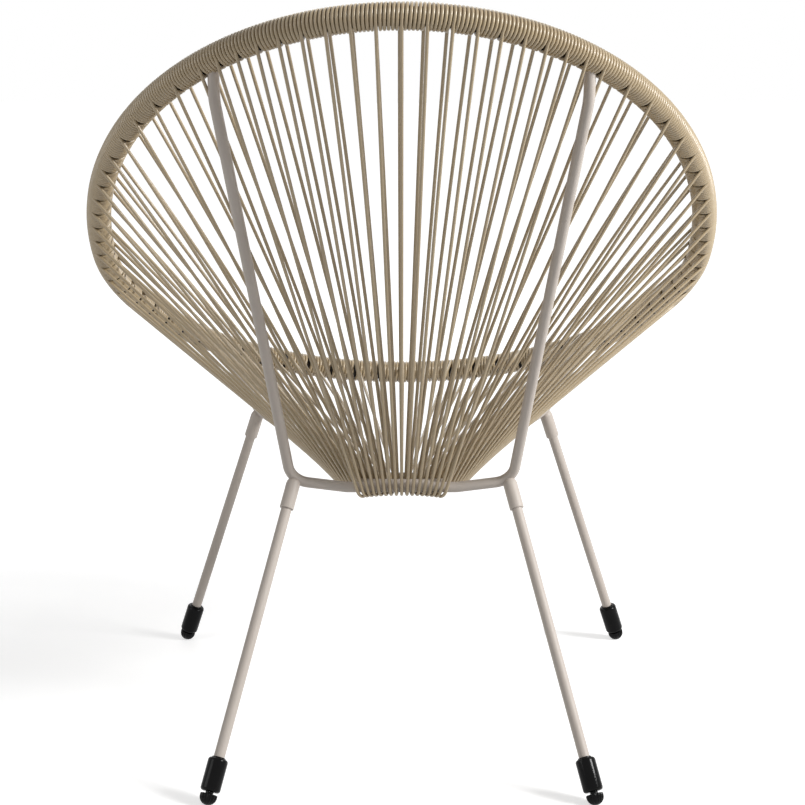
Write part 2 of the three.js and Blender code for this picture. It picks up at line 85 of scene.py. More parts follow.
def unit(vectors):
    """Each vector divided by its length."""
    return vectors / np.linalg.norm(vectors, axis=-1, keepdims=True)


def turn_of(station):
    """The number of turns wound before a station, straight between whole stations."""
    lap, rest = np.divmod(station, station_count)
    return lap * turn_count + np.interp(rest, np.arange(station_count + 1), turns_at)


def station_of(turn):
    """The station, with its fraction, that the winding has reached after a number of turns."""
    return np.interp(turn % turn_count, turns_at, np.arange(station_count + 1))


# %% [markdown]
# ## The oval hoop and the ring
# The hoop could be a Bezier circle pulled into shape, but then its points would sit where the
# handles put them. A formula with an even walk along its length gives the place and the direction
# for any number of turns, which is what the winding needs. The ring is a true circle, lower at the
# front, and just wide enough to seat one cord beside the other.

# %% Walk round the hoop and the ring
rim_half_width, rim_rear_reach, rim_front_reach = 351.7, 396.0, 262.0
rim_rear_height, rim_front_height, rim_bow = 835.6, 344.3, 5.4
rim_rear_setback = (rim_rear_reach + rim_front_reach) / 2
rim_widest = rim_rear_setback - rim_rear_reach
ring_setback, ring_height, ring_tilt = 24.0, 288.6, np.radians(13.0)
ring_centre = np.array([0, ring_setback, ring_height])
ring_radius = station_count * (cord_diameter + ring_cord_gap) / (2 * np.pi) + loop_radius
# the steps of a walk round the hoop, and the share of a lap over which its direction is taken
walk_steps, nudge = 7200, 1e-4


def rim_points(t):
    """The hoop's centreline, an oval in plan that falls from rear to front with a slight bow.

    x = w sin a and y = m + reach cos a; z falls straight with the share s of the way to the
    front, and 4 b s (1 - s) is added to it."""
    angle = 2 * np.pi * t
    reach = np.where(np.cos(angle) > 0, rim_rear_reach, rim_front_reach)
    setback = rim_widest + reach * np.cos(angle)
    share = (rim_rear_setback - setback) / (2 * rim_rear_setback)
    height = rim_rear_height + (rim_front_height - rim_rear_height) * share
    return np.stack([rim_half_width * np.sin(angle), setback,
                     height + 4 * rim_bow * share * (1 - share)], -1)


def step_lengths(path):
    """The distances from each point of a path to the next."""
    return np.linalg.norm(np.diff(path, axis=0), axis=1)


walk = np.linspace(0, 1, walk_steps + 1)
walked = np.concatenate([[0], np.cumsum(step_lengths(rim_points(walk)))])


def ring_place(station):
    """The ring's centreline and its direction: a tilted circle, one slot to a station.

    P = C + R (side sin a + rearward cos a), with a = 2 pi times the share of the stations."""
    angle = 2 * np.pi * np.asarray(station)[..., None] / station_count
    side, rearward = np.array([1.0, 0, 0]), np.array([0, np.cos(ring_tilt), np.sin(ring_tilt)])
    return (ring_centre + ring_radius * (side * np.sin(angle) + rearward * np.cos(angle)),
            side * np.cos(angle) - rearward * np.sin(angle))


def hoop_place(turn):
    """The hoop's centreline after a number of turns, its direction, and the way out of the bowl.

    Outward is the hoop's direction crossed with the line from the hoop to the ring."""
    t = np.interp((turn / turn_count) % 1, walked / walked[-1], walk)
    at = rim_points(t)
    along = unit(rim_points(t + nudge) - rim_points(t - nudge))
    to_ring = unit(ring_place(station_of(turn))[0] - at)
    return at, along, unit(np.cross(along, to_ring))


pitch = walked[-1] / turn_count
print("hoop", round(walked[-1]), "mm round, one turn every", round(pitch, 2), "mm")
print("ring", round(2 * ring_radius, 1), "mm across its centreline")

# %% [markdown]
# ## Bent stays
# Each stay is one rod: an upright, a bend at the leg, a bar under the ring, and the same mirrored.
# Straight runs with true arcs between them are what a bending machine makes, so the route is built
# from its corners and each corner is rounded with its own radius.

# %% Arcs and rounded corners
bend_steps = 14


def arc(centre, axis, spoke_from, spoke_to, radius, steps):
    """Points on an arc round an axis, from one spoke to another, and the spokes themselves.

    A spoke turns by -a: s cos a - (axis x s) sin a."""
    whole = np.arccos(np.clip(np.dot(spoke_from, spoke_to), -1, 1))
    turn = np.linspace(0, whole, steps + 1)[:, None]
    spokes = spoke_from * np.cos(turn) - np.cross(axis, spoke_from) * np.sin(turn)
    return centre + radius * spokes, spokes


def rounded(corners):
    """A route through corners (point, radius), with an arc in place of each inner corner.

    An arc that turns by 2 h has its centre r / cos h from the corner, midway between its arms."""
    points = [corners[0][0]]
    for (before, _), (at, radius), (after, _) in zip(corners, corners[1:], corners[2:]):
        back, forth = unit(before - at), unit(after - at)
        half = (np.pi - np.arccos(np.dot(back, forth))) / 2
        middle, axis = unit(back + forth), unit(np.cross(forth, back))
        centre = at + middle * radius / np.cos(half)
        turn = np.linspace(-half, half, bend_steps + 1)[:, None]
        points.extend(centre - radius * (middle * np.cos(turn) + np.cross(axis, middle)
                                         * np.sin(turn)))
    points.append(corners[-1][0])
    return np.array(points)


def mirror(point):
    """The same point on the other side of the chair."""
    return np.asarray(point) * [-1, 1, 1]


quarter = rounded([(np.array([0.0, 9, 0]), 0), (np.zeros(3), 5), (np.array([9.0, 0, 0]), 0)])
print("a square corner rounded by 5 mm is", round(step_lengths(quarter).sum(), 2), "mm long")

# %% [markdown]
# ## Where the stays run
# The bars lie against the ring, and the uprights' tops against the outer side of the hoop. Over
# its last few centimetres an upright is eased in under the turns of cord: at the share s of that
# length, counted from the top, it has moved by d (1 - s)^2 (1 + 2 s) of the way to the hoop's
# centreline.

# %% Routes of the stays
stay_top_offset, stay_bend_radius, bar_corner_radius = 12.0, 25.0, 20.0
ease_length, ease_depth = 46.0, 0.85
rear_bar_half, front_bar_half = 62.0, 54.0
rear_bend_half, rear_bend_rise = 125.0, 8.0
front_bend = np.array([182.0, -211.0, 320.0])
rod_contact = rod_diameter + seat_gap


def stay_corners(station, bend, bar_end):
    """Top, bend and bar end of a stay; the top lies on the hoop's outer side."""
    at, along, _ = hoop_place(turn_of(station))
    out = unit(np.cross(along, unit(bend - at)))
    return [(at + out * stay_top_offset, 0), (bend, stay_bend_radius), (bar_end, bar_corner_radius)]


ring_rear, ring_front = ring_place(0)[0], ring_place(station_count / 2)[0]
rear_bar_end = np.array([rear_bar_half, ring_rear[1] + rod_contact, ring_rear[2]])
front_bar_end = np.array([front_bar_half, ring_front[1] - rod_contact, ring_front[2]])
rear_bend = np.array([rear_bend_half, rear_bar_end[1], rear_bar_end[2] + rear_bend_rise])
stay_stations = {"rear": rear_stay_station, "front": front_stay_station}
corners = {"rear": stay_corners(rear_stay_station, rear_bend, rear_bar_end),
           "front": stay_corners(front_stay_station, front_bend, front_bar_end)}
routes, bend_middles = {}, {}
for row, half in corners.items():
    route = rounded(half + [(mirror(p), r) for p, r in half[::-1]])
    bend_middles[row] = route[1 + bend_steps // 2]
    top, bend = half[0][0], half[1][0]
    down, hoop = unit(bend - top), hoop_place(turn_of(stay_stations[row]))[0]
    eased = [top + down * ease_length * share + (hoop - top) * ease_depth
             * (1 - share) ** 2 * (1 + 2 * share) for share in np.linspace(0.1, 1, 10)]
    routes[row] = np.concatenate([eased, route[1:-1], mirror(eased[::-1])])
    print(row, "stay", round(step_lengths(routes[row]).sum()), "mm of rod")

# %% [markdown]
# ## One strand, from the hoop round the ring and back
# A strand leaves the hoop on its outer side, runs down to the ring, turns under it and climbs back
# on the inner side. Beside the middle of a stay it also passes behind the bar, and where it would
# run through an upright it is pressed inwards. Arcs with the cord's true bending radius keep it
# touching the rods without cutting into them.

# %% Where an upright stands in a strand's way
def pressed(start, end, outward):
    """Points where a strand leans on an upright, found where the two lines pass each other.

    With u along the strand, v along the rod and d between their starts, that place is at the
    share (v x d) . (u x v) / |u x v|^2 of the strand, and of the rod with u x d in its place."""
    strand, found = end - start, []
    reach = loop_radius + press_gap
    rods = [(side(half[i][0]), side(half[i + 1][0])) for half in corners.values()
            for side in (np.asarray, mirror) for i in range(2)]
    for low, high in rods:
        rod, offset = high - low, start - low
        cross = np.cross(strand, rod)
        on_strand = np.dot(np.cross(rod, offset), cross) / np.dot(cross, cross)
        on_rod = np.dot(np.cross(strand, offset), cross) / np.dot(cross, cross)
        if not (0 < on_strand < 1 and 0 < on_rod < 1):
            continue
        inward = -unit(cross) * np.sign(np.dot(cross, outward))
        place = start + strand * on_strand
        distance = np.dot(place - low - rod * on_rod, inward)
        if distance < reach:
            found.append((on_strand, place + inward * (reach - distance)))
    return [point for _, point in sorted(found, key=lambda pair: pair[0])]


print("a strand leans on an upright", round(loop_radius + press_gap, 2), "mm from its centreline")

# %% [markdown]
# ## The strand's own route
# A cord strung by hand never hangs quite straight, so each run bows sideways by less than a
# millimetre, a different amount at every station. With each point goes a spoke, the direction away
# from what the cord bends round, which later keeps the round skin from twisting.

# %% Route of a strand
run_steps, bar_steps, ring_steps, loop_steps = 9, 6, 12, 14
# how far a run bows, and how fast that changes from station to station, going down and going up
sway, sway_pace_down, sway_pace_up = 0.9, 2.4, 3.7
# the arc round the ring alone stops a hair short of half a turn
nearly_opposite = 0.9999


def straight(start, end, spoke_from, spoke_to, bow):
    """A run of cord between two points, with its spokes, bowing a little sideways.

    P = start + s (end - start) + bow sin(pi s), at the share s of the run."""
    share = np.linspace(0, 1, run_steps + 1)[1:-1, None]
    return (start + (end - start) * share + bow * np.sin(np.pi * share),
            spoke_from + (spoke_to - spoke_from) * share)


def strand(station):
    """Points of a strand and, for each, the spoke on the side away from what it bends round.

    It is a straight run, an arc round the bar where there is one, an arc round the ring, and a
    straight run home."""
    at, _, outward = hoop_place(turn_of(station))
    back, back_along, back_outward = hoop_place(turn_of(station) + 0.5)
    ring, along = ring_place(station)
    out = unit(np.cross(along, unit(ring - at)))
    from_rear = min(station % station_count, -station % station_count)
    start, leans = at + wrap_radius * outward, []
    if from_rear < rear_stay_station or from_rear > front_stay_station:
        bar_end = rear_bar_end if from_rear < rear_stay_station else front_bar_end
        bar = np.array([ring[0] * (ring_radius + loop_radius) / ring_radius, *bar_end[1:]])
        under = unit(np.cross(along, ring - bar))
        bar_out = unit(np.cross(along, bar - at))
        loops = [arc(bar, along, bar_out, under, loop_radius / abs(along[0]), bar_steps),
                 arc(ring, along, under, -out, loop_radius, ring_steps)]
    else:
        loops = [arc(ring, along, out, -out * nearly_opposite, loop_radius, loop_steps)]
        leans = pressed(start, ring + out * loop_radius, outward)
    bow = along * (0 if leans else sway * np.sin(sway_pace_down * station))
    meet, meet_spoke = loops[0][0][0], loops[0][1][0]
    here, spoke, points, spokes = start, outward, [start[None]], [outward[None]]
    for lean in leans:
        p, s = straight(here, lean, spoke, meet_spoke, bow)
        points += [p, lean[None]]
        spokes += [s, meet_spoke[None]]
        here, spoke = lean, meet_spoke
    home, home_spoke = back - wrap_radius * back_outward, -back_outward
    runs = [straight(here, meet, spoke, meet_spoke, bow), *loops,
            straight(loops[-1][0][-1], home, loops[-1][1][-1], home_spoke,
                     back_along * sway * np.sin(sway_pace_up * station + 1)),
            (home[None], home_spoke[None])]
    return (np.concatenate(points + [p for p, _ in runs]),
            np.concatenate(spokes + [s for _, s in runs]))


for name, station in {"back": 0, "side": station_count / 4, "front": station_count / 2}.items():
    print("a strand at the", name, "is", round(step_lengths(strand(station)[0]).sum()), "mm long")

# %% [markdown]
# ## Turns round the hoop
# The turns could be a screw modifier, but the hoop is bent and the turns have to start and stop at
# the stations. So the helix is worked out directly: the angle counts the turns, and the centre
# moves along the hoop at the same time. At its full thickness one turn would cut into the next,
# so the cord is drawn a little thinner. That leaves thin slits between the turns, which look dark
# from real shade and from the painted shade on the hoop beneath.

# %% Route of the turns
turn_points, turn_radius, strand_radius = 18, 1.88, 1.86


def turns(first, last):
    """The winding from one number of turns to another, with the spoke at each point.

    P = hoop + r (outward cos a + down sin a), with a = 2 pi times the turns."""
    steps = max(int(round((last - first) * turn_points)), 1)
    turn = np.linspace(first, last, steps + 1)
    at, along, outward = hoop_place(turn)
    down = np.cross(outward, along)
    angle = 2 * np.pi * turn[:, None]
    spokes = outward * np.cos(angle) + down * np.sin(angle)
    return at + wrap_radius * spokes, spokes


def cord_path(stations):
    """The whole cord of a panel: turns, strand, turns, strand, as one unbroken path.

    It runs one point past each end, so that the next panel's end ring has the same direction."""
    here, end = turn_of(stations[0] - 0.5), turn_of(stations[-1] + 0.5) + 1 / turn_points
    before = turns(here - 1 / turn_points, here)
    points, spokes, radii = [before[0]], [before[1]], [np.full(2, turn_radius)]
    for station in stations:
        for (p, s), radius in ((turns(here, turn_of(station)), turn_radius),
                               (strand(station), strand_radius)):
            points.append(p[1:])
            spokes.append(s[1:])
            radii.append(np.full(len(points[-1]), radius))
        here = turn_of(station) + 0.5
        radii[-1][-1] = turn_radius
    p, s = turns(here, end)
    radii.append(np.full(len(p) - 1, turn_radius))
    return np.concatenate(points + [p[1:]]), np.concatenate(spokes + [s[1:]]), np.concatenate(radii)


print("one turn takes", round(step_lengths(turns(0, 1)[0]).sum(), 1), "mm of cord")

# %% [markdown]
# ## Surfaces from rings of points
# Every piece here is a skin over rings: a rod is a ring carried along a route, and a turned part is
# a ring that grows and shrinks along its axis. One function joins the rings with four-sided faces
# and closes the ends, so all pieces face outward and none is open.

# %% Skin over rings
millimetre, sharp_edge = 0.001, np.radians(50)


def ring_faces(rings, sides, endless=False):
    """Face corners between neighbouring rings, with flat ends unless the rings close on themselves.

    Corner (i, j) has the number i * sides + j."""
    i = np.arange(rings if endless else rings - 1)[:, None]
    j = np.arange(sides)[None]
    near, far, side = i * sides, (i + 1) % rings * sides, (j + 1) % sides
    quads = np.stack([near + j, near + side, far + side, far + j], -1).reshape(-1, 4)
    if endless:
        return [quads]
    return [quads, np.arange(sides)[None, ::-1], (rings - 1) * sides + np.arange(sides)[None]]


def make_piece(name, points, faces, material, body, node, slot):
    """A named object from points in millimetres and groups of face corners, riding on a body."""
    mesh = bpy.data.meshes.new(name)
    sizes = np.concatenate([np.full(len(group), group.shape[1]) for group in faces])
    mesh.vertices.add(len(points))
    mesh.vertices.foreach_set("co", (points * millimetre).ravel())
    mesh.loops.add(int(sizes.sum()))
    mesh.loops.foreach_set("vertex_index", np.concatenate([group.ravel() for group in faces]))
    mesh.polygons.add(len(sizes))
    mesh.polygons.foreach_set("loop_start", np.concatenate([[0], np.cumsum(sizes)[:-1]]))
    mesh.update(calc_edges=True)
    mesh.validate()
    mesh.shade_smooth()
    mesh.set_sharp_from_angle(angle=sharp_edge)
    mesh.materials.append(material)
    piece = bpy.data.objects.new(name, mesh)
    bpy.context.scene.collection.objects.link(piece)
    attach(piece, body)
    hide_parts(node)


def tube(path, spokes, radius, sides, endless=False, spare=0):
    """Rings of a round tube along a path, without its spare points at both ends.

    T points from the point before to the point after, N is the spoke made square to T, B is T x N,
    and the ring is P + r (N cos a + B sin a)."""
    if endless:
        tangent = unit(np.roll(path, -1, 0) - np.roll(path, 1, 0))
    else:
        ahead = unit(np.diff(path, axis=0))
        tangent = unit(np.concatenate([ahead[:1], ahead[:-1] + ahead[1:], ahead[-1:]]))
    normal = unit(spokes - tangent * np.sum(spokes * tangent, -1, keepdims=True))
    other = np.cross(tangent, normal)
    angle = np.linspace(0, 2 * np.pi, sides, endpoint=False)[None, :, None]
    radius = np.broadcast_to(radius, len(path))[:, None, None]
    rings = path[:, None] + radius * (normal[:, None] * np.cos(angle)
                                      + other[:, None] * np.sin(angle))
    rings = rings[spare:len(path) - spare]
    return rings.reshape(-1, 3), ring_faces(len(rings), sides, endless)


print("a rod of 3 rings with 8 sides has", sum(map(len, ring_faces(3, 8))), "faces")

# %% [markdown]
# ## Shader arithmetic
# A material is a small sum: a base colour, plus a little noise, times something else. Adding nodes
# by hand hides that sum, so one class wraps a socket and lets it be added and multiplied like a
# number. Any other node is made with one method.

# %% A socket that behaves like a number
class Wire:
    """A shader socket with arithmetic."""

    def __init__(self, socket):
        self.socket = socket

    def node(self, kind, inputs, output=0, **settings):
        """Any other node in the same tree: settings are its fields, inputs its sockets."""
        made = self.socket.id_data.nodes.new(kind)
        for field, value in settings.items():
            setattr(made, field, value)
        for name, value in inputs.items():
            if isinstance(value, Wire):
                self.socket.id_data.links.new(value.socket, made.inputs[name])
            else:
                made.inputs[name].default_value = value
        return Wire(made.outputs[output])

    def maths(self, operation, other):
        """One Math node on this socket and another value."""
        return self.node("ShaderNodeMath", {0: self, 1: other}, operation=operation)

    def __add__(self, other):
        return self.maths("ADD", other)

    def __mul__(self, other):
        return self.maths("MULTIPLY", other)

    def least(self, other):
        """The smaller of the two."""
        return self.maths("MINIMUM", other)

    __radd__, __rmul__ = __add__, __mul__


def linear(code):
    """A colour written as RRGGBB, turned from screen values into light.

    Light is s / 12.92 for a dark value s, and ((s + 0.055) / 1.055)^2.4 for the others."""
    screen = np.array([int(code[i:i + 2], 16) for i in (0, 2, 4)]) / 255
    light = np.where(screen < 0.04045, screen / 12.92, ((screen + 0.055) / 1.055) ** 2.4)
    return (*light.tolist(), 1.0)


print("the screen's middle grey is", round(linear("808080")[0], 3), "of white as light")

# %% [markdown]
# ## What a finish is made of
# A finish has a few constants, such as its clear coat, and three things that vary over the piece:
# a blend of two close colours, the roughness, and a fine bump. Noise in the object's own
# coordinates drives them, so that a pattern stays on its piece when the piece moves.

# %% Helpers for finishes
bump_strength = 0.5


def finish(name, metallic=0.0, coat=0.0, coat_roughness=0.2, specular=0.5):
    """A new material with its constant values set; returns it, its shader and its coordinates."""
    material = bpy.data.materials.new(name)
    material.use_nodes = True
    shader = material.node_tree.nodes["Principled BSDF"]
    shader.inputs["Metallic"].default_value = metallic
    shader.inputs["Coat Weight"].default_value = coat
    shader.inputs["Coat Roughness"].default_value = coat_roughness
    shader.inputs["Specular IOR Level"].default_value = specular
    place = Wire(material.node_tree.nodes.new("ShaderNodeTexCoord").outputs["Object"])
    return material, shader, place


def noise(place, scale, detail=2.0):
    """Soft noise from 0 to 1, with so many lumps to a metre."""
    return place.node("ShaderNodeTexNoise", {"Vector": place, "Scale": scale, "Detail": detail})


def dress(material, shader, colours, share, roughness, height, depth):
    """Links a blend of two colours, a roughness and a bump of some depth to the shader.

    The colour is (1 - share) times the first plus share times the second."""
    links = material.node_tree.links
    mix = share.node("ShaderNodeMix", {0: share, 6: linear(colours[0]), 7: linear(colours[1])},
                     output=2, data_type="RGBA")
    bump = height.node("ShaderNodeBump", {"Height": height, "Distance": depth,
                                          "Strength": bump_strength})
    links.new(mix.socket, shader.inputs["Base Color"])
    links.new(roughness.socket, shader.inputs["Roughness"])
    links.new(bump.socket, shader.inputs["Normal"])
    print(material.name, "between", colours[0], "and", colours[1])
    return material


# %% [markdown]
# ## Finishes
# The cord is a smooth plastic-covered string in a sandy beige, a little paler where hands and sun
# reach it. The steel has a warm grey powder coat whose skin is very slightly pebbled. Caps and feet
# are glossy black mouldings, and the screws inside are zinc. The hoop under the cord is painted
# nearly black as painted shade, so that the notches where a strand leaves it and the slits between
# the turns look shaded. Each finish varies slowly over the object and carries a fine bump at its
# real scale.

# %% Make the finishes
material, shader, place = finish("cord_cover", coat=0.5, coat_roughness=0.25)
cord_finish = dress(material, shader, ("9F8B6A", "B9A788"),
                    share=noise(place, 9.0) * 0.7 + noise(place, 160.0) * 0.3,
                    roughness=0.32 + noise(place, 60.0) * 0.14,
                    height=noise(place, 1400.0, 1.0), depth=0.0002)
material, shader, place = finish("powder_coat", specular=0.4)
paint_finish = dress(material, shader, ("B9AFA6", "C5BCB3"), share=noise(place, 14.0),
                     roughness=0.38 + noise(place, 900.0) * 0.14,
                     height=noise(place, 1700.0, 1.0), depth=0.0003)
material, shader, place = finish("black_moulding", coat=0.02, coat_roughness=0.06, specular=0.1)
black_finish = dress(material, shader, ("040404", "0A0A0B"), share=noise(place, 90.0),
                     roughness=0.1 + noise(place, 240.0) * 0.14,
                     height=noise(place, 500.0), depth=0.0002)
# painted shade: the hoop under the cord is nearly black, so its notches and the slits between the
# turns look shaded
material, shader, place = finish("painted_shade_under_cord", specular=0.3)
hoop_painted_shade = dress(material, shader, ("1C1916", "2A2622"), share=noise(place, 30.0),
                      roughness=0.6 + noise(place, 300.0) * 0.14,
                      height=noise(place, 900.0), depth=0.0002)
material, shader, place = finish("zinc_plate", metallic=1.0)
zinc_finish = dress(material, shader, ("A9ADB1", "C3C6C9"), share=noise(place, 200.0),
                    roughness=0.28 + noise(place, 600.0) * 0.14,
                    height=noise(place, 900.0), depth=0.0001)

# %% [markdown]
# ## The webbing
# The solid model has the webbing in panels, so each panel is replaced by its own stretch of the one
# cord. A stretch ends exactly where the next begins, with the same ring of points, so the eye sees
# one cord that never stops.

# %% Wind the cord
cord_sides = 10
panels, first = [], 0.5 - rear_stay_station
for panel_name, counts in panel_groups:
    for index, count in enumerate(counts):
        panels.append((f"{panel_name}_{index + 1}", first + np.arange(count)))
        first += count
cord_length = 0
for node, stations in panels:
    path, spokes, radii = cord_path(stations)
    cord_length += step_lengths(path[1:-1]).sum()
    make_piece(f"wound_{node}", *tube(path, spokes, radii, cord_sides, spare=1), cord_finish,
               "chair", node, "cord")
print(len(panels), "panels,", round(cord_length / 1000, 1), "m of cord")

# %% [markdown]
# ## The frame
# The ring is a true circle, so it closes on itself. The stays follow their routes. A rod only bends
# in one plane at a time, so any steady side direction serves as the spoke. The hoop stays the solid
# model's own piece, because the turns cover all of it but the notches, and is painted nearly black:
# a painted shade, so that the notches and the slits between the turns look shaded.

# %% Ring, stays and hoop
rod_sides, ring_points, steady_spoke = 24, 96, [0.12, 1.0, 0.35]
ring_path = ring_place(np.linspace(0, station_count, ring_points, endpoint=False))[0]
make_piece("round_seat_ring",
           *tube(ring_path, ring_path - ring_centre, rod_diameter / 2, rod_sides, endless=True),
           paint_finish, "chair", "seat_ring", "painted_steel")
for row, route in routes.items():
    spokes = np.tile(steady_spoke, (len(route), 1))
    make_piece(f"round_{row}_stay", *tube(route, spokes, rod_diameter / 2, rod_sides),
               paint_finish, "chair", f"{row}_stay", "painted_steel")
    print(row, "stay drawn with", len(route), "rings")
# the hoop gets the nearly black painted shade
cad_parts["rim_hoop"].material_slots[0].material = hoop_painted_shade

# %% [markdown]
# ## Turned parts
# Each leg is a thin tube that plugs into a socket welded on the stay's bend. A glossy cap covers
# its lower end, and a fluted foot screws into the leg through the cap, to take up an uneven floor.
# All of them are turned parts on the leg's own axis, so a profile of radii and heights describes
# each one, with heights counted from the middle of the foot's half ball.

# %% Turn a profile round an axis
def lathe(profile, origin, axis, sides, endless=True):
    """Rings of a turned piece: each row of the profile is (radius, height along the axis).

    P = origin + h axis + r (one cos a + other sin a), where one and other are square to the axis
    and come from a direction that no leg runs along."""
    profile = np.asarray(profile, float)
    one = unit(np.cross(axis, [0.0, 1.0, 0.3]))
    other = np.cross(axis, one)
    angle = np.linspace(0, 2 * np.pi, sides, endpoint=False)[None, :, None]
    rim = one * np.cos(angle) + other * np.sin(angle)
    rings = origin + profile[:, 1, None, None] * axis + profile[:, 0, None, None] * rim
    return rings.reshape(-1, 3), ring_faces(len(profile), sides, endless)


def round_corner(radius, height, size, start, end, steps=6):
    """Points of a rounded edge in a profile, from one angle in degrees to another.

    Each is (radius + size cos a, height + size sin a)."""
    turn = np.radians(np.linspace(start, end, steps + 1))
    return [(radius + size * np.cos(a), height + size * np.sin(a)) for a in turn]


print("a rounded edge has", len(round_corner(0, 0, 1, 0, 90)), "rows of a profile")

# %% Sockets, legs and caps
socket_diameter, socket_length, socket_edge = 16.0, 38.0, 0.8
# how much thinner the socket is, and how far under the stay's centreline, where the weld begins
weld_taper = [(0.0, 9.0), (0.5, 6.5), (1.6, 4.0)]
weld_top_radius, weld_top, bore_end, bore_lip = 5.0, 2.5, 12.0, 2.0
leg_wall, leg_above_cap_end, leg_below_stay, leg_sides = 1.2, 5.1, 8.0, 40
cap_diameter, cap_length, cap_round = 22.0, 38.0, 3.4
cap_floor, lip_round, neck_clearance, cap_sides = 3.0, 0.6, 0.4, 48
foot_neck = 8.6
bore_radius = rod_diameter / 2 + seat_gap


def socket_profile(length):
    """A sleeve with eased ends whose top runs into the weld on the stay."""
    outer, low = socket_diameter / 2, length - socket_length
    return ([(bore_radius, low)]
            + round_corner(outer - socket_edge, low + socket_edge, socket_edge, -90, 0)
            + [(outer - thinner, length - under) for thinner, under in weld_taper]
            + [(weld_top_radius, length - weld_top), (bore_radius - bore_lip, length - weld_top),
               (bore_radius - bore_lip, length - bore_end), (bore_radius, length - bore_end)])


def leg_profile(low, high):
    """A plain tube."""
    outer = rod_diameter / 2
    return [(outer - leg_wall, low), (outer, low), (outer, high), (outer - leg_wall, high)]


def cap_profile(low):
    """A cap with rounded ends, a hole for the foot's neck and a lip where the leg enters."""
    high, lip, hole = low + cap_length, cap_diameter / 2 - cap_round, foot_neck / 2 + neck_clearance
    return ([(hole, low)] + round_corner(lip, low + cap_round, cap_round, -90, 0)
            + round_corner(lip, high - 2 * lip_round - cap_round, cap_round, 0, 90)
            + round_corner(lip - lip_round, high - lip_round, lip_round, 0, 90)
            + [(bore_radius, high), (bore_radius, low + cap_floor), (hole, low + cap_floor)])


print("profile rows:", len(socket_profile(100)), "socket,", len(cap_profile(0)), "cap")

# %% [markdown]
# ## The fluted foot
# The foot is half a ball with a skirt and a neck. Its flutes are made by pulling the surface in
# between the ribs, which a wave round the axis does in one line. Where the ball would go through
# the floor it is pressed flat.

# %% Rings of a foot
foot_diameter, foot_skirt, skirt_edge, foot_flat = 19.0, 2.5, 0.7, 0.5
# the flutes' number and depth, how far from the axis they begin, and the columns of points
flutes, flute_depth, flute_start, foot_columns = 16, 1.0, 4.4, 128
# the ball's lowest row in degrees from its pole, and how many rows it has
dome_start, dome_rows = 4, 14


def foot_rings(origin, axis, gap):
    """A fluted half ball with a skirt and a neck, pressed flat where it meets the floor.

    At the share k of a flute's width the surface is pulled in by d (r / R) (1 - cos 2 pi k) / 2,
    where r is its distance from the axis and R the ball's radius."""
    radius, neck = foot_diameter / 2, foot_neck / 2
    dome = np.radians(np.linspace(dome_start, 90, dome_rows))
    profile = np.array([(radius * np.sin(a), -radius * np.cos(a)) for a in dome]
                       + round_corner(radius - skirt_edge, foot_skirt - skirt_edge, skirt_edge,
                                      0, 90, steps=4)
                       + [(neck, foot_skirt), (neck, foot_skirt + gap)])
    points, faces = lathe(profile, np.zeros(3), axis, foot_columns, endless=False)
    turn = 2 * np.pi * flutes * np.arange(foot_columns) / foot_columns
    depth = np.tile(flute_depth * (1 - np.cos(turn)) / 2, len(profile))
    depth = depth * np.repeat(profile[:, 0] > flute_start, foot_columns)
    heights = points @ axis
    across = points - heights[:, None] * axis
    pulled = across * (1 - depth / radius)[:, None] + heights[:, None] * axis + origin
    pulled[:, 2] = np.maximum(pulled[:, 2], 0)
    return pulled, faces


print(flutes, "flutes,", foot_columns // flutes, "columns of points to a flute")

# %% Four legs with all they carry
# half the span between the feet, their setback, and the gap between foot and cap
foot_places = {"rear": (207.7, 282.0, 2.5), "front": (283.6, -245.0, 1.2)}
for row, (half_span, setback, gap) in foot_places.items():
    for side, sign in (("left", 1), ("right", -1)):
        flip = np.array([sign, 1, 1])
        foot = np.array([half_span, setback, foot_diameter / 2 - foot_flat]) * flip
        run = bend_middles[row] * flip - foot
        length = np.linalg.norm(run)
        axis = run / length
        place, low = f"{row}_{side}", foot_skirt + gap
        leg = leg_profile(low + leg_above_cap_end, length - leg_below_stay)
        make_piece(f"sleeve_{place}", *lathe(socket_profile(length), foot, axis, leg_sides),
                   paint_finish, "chair", f"leg_socket_{place}", "painted_steel")
        make_piece(f"tube_{place}", *lathe(leg, foot, axis, leg_sides),
                   paint_finish, "chair", f"leg_{place}", "painted_steel")
        make_piece(f"ferrule_{place}", *lathe(cap_profile(low), foot, axis, cap_sides),
                   black_finish, "chair", f"foot_cap_{place}", "black_plastic")
        make_piece(f"fluted_{place}", *foot_rings(foot, axis, gap), black_finish,
                   f"leveller_{place}", f"leveller_foot_{place}", "black_plastic")
        for kind in ("thread_insert", "leveller_stud"):
            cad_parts[f"{kind}_{place}"].material_slots[0].material = zinc_finish
        print(place, "leg", round(length), "mm from the foot to the stay")

# %% [markdown]
# ## Camera
# The camera stands where the photograph was taken from: behind the chair, a little above the
# hoop's top, looking slightly down. Its distance and focal length were worked out from how the
# near and far legs spread. The focal length is counted in pixels of the square picture, which has
# 805 to a side.

# %% Place the camera
picture_pixels, focal_pixels, sensor_width = 805, 2035, 36
camera_behind, camera_height, camera_dip, sideways_shift = 2.318, 0.913, 12.987, 0.001
camera_data = bpy.data.cameras.new("camera")
camera = bpy.data.objects.new("camera", camera_data)
bpy.context.scene.collection.objects.link(camera)
camera.location = (0.0, camera_behind, camera_height)
camera.rotation_euler = (np.radians(90 - camera_dip), 0, np.pi)
camera_data.lens = focal_pixels / picture_pixels * sensor_width
camera_data.shift_x = sideways_shift
bpy.context.scene.camera = camera
print("lens", round(camera_data.lens, 1), "mm")

# %% [markdown]
# ## Lamps
# Broad soft lamps show the cord's roundness without hard shadows. The strongest one stands at the
# picture's upper right, and two weaker ones fill the other side and the inside of the bowl.

# %% Three soft lamps
lamp_aim = np.array([0, 0, 0.5])


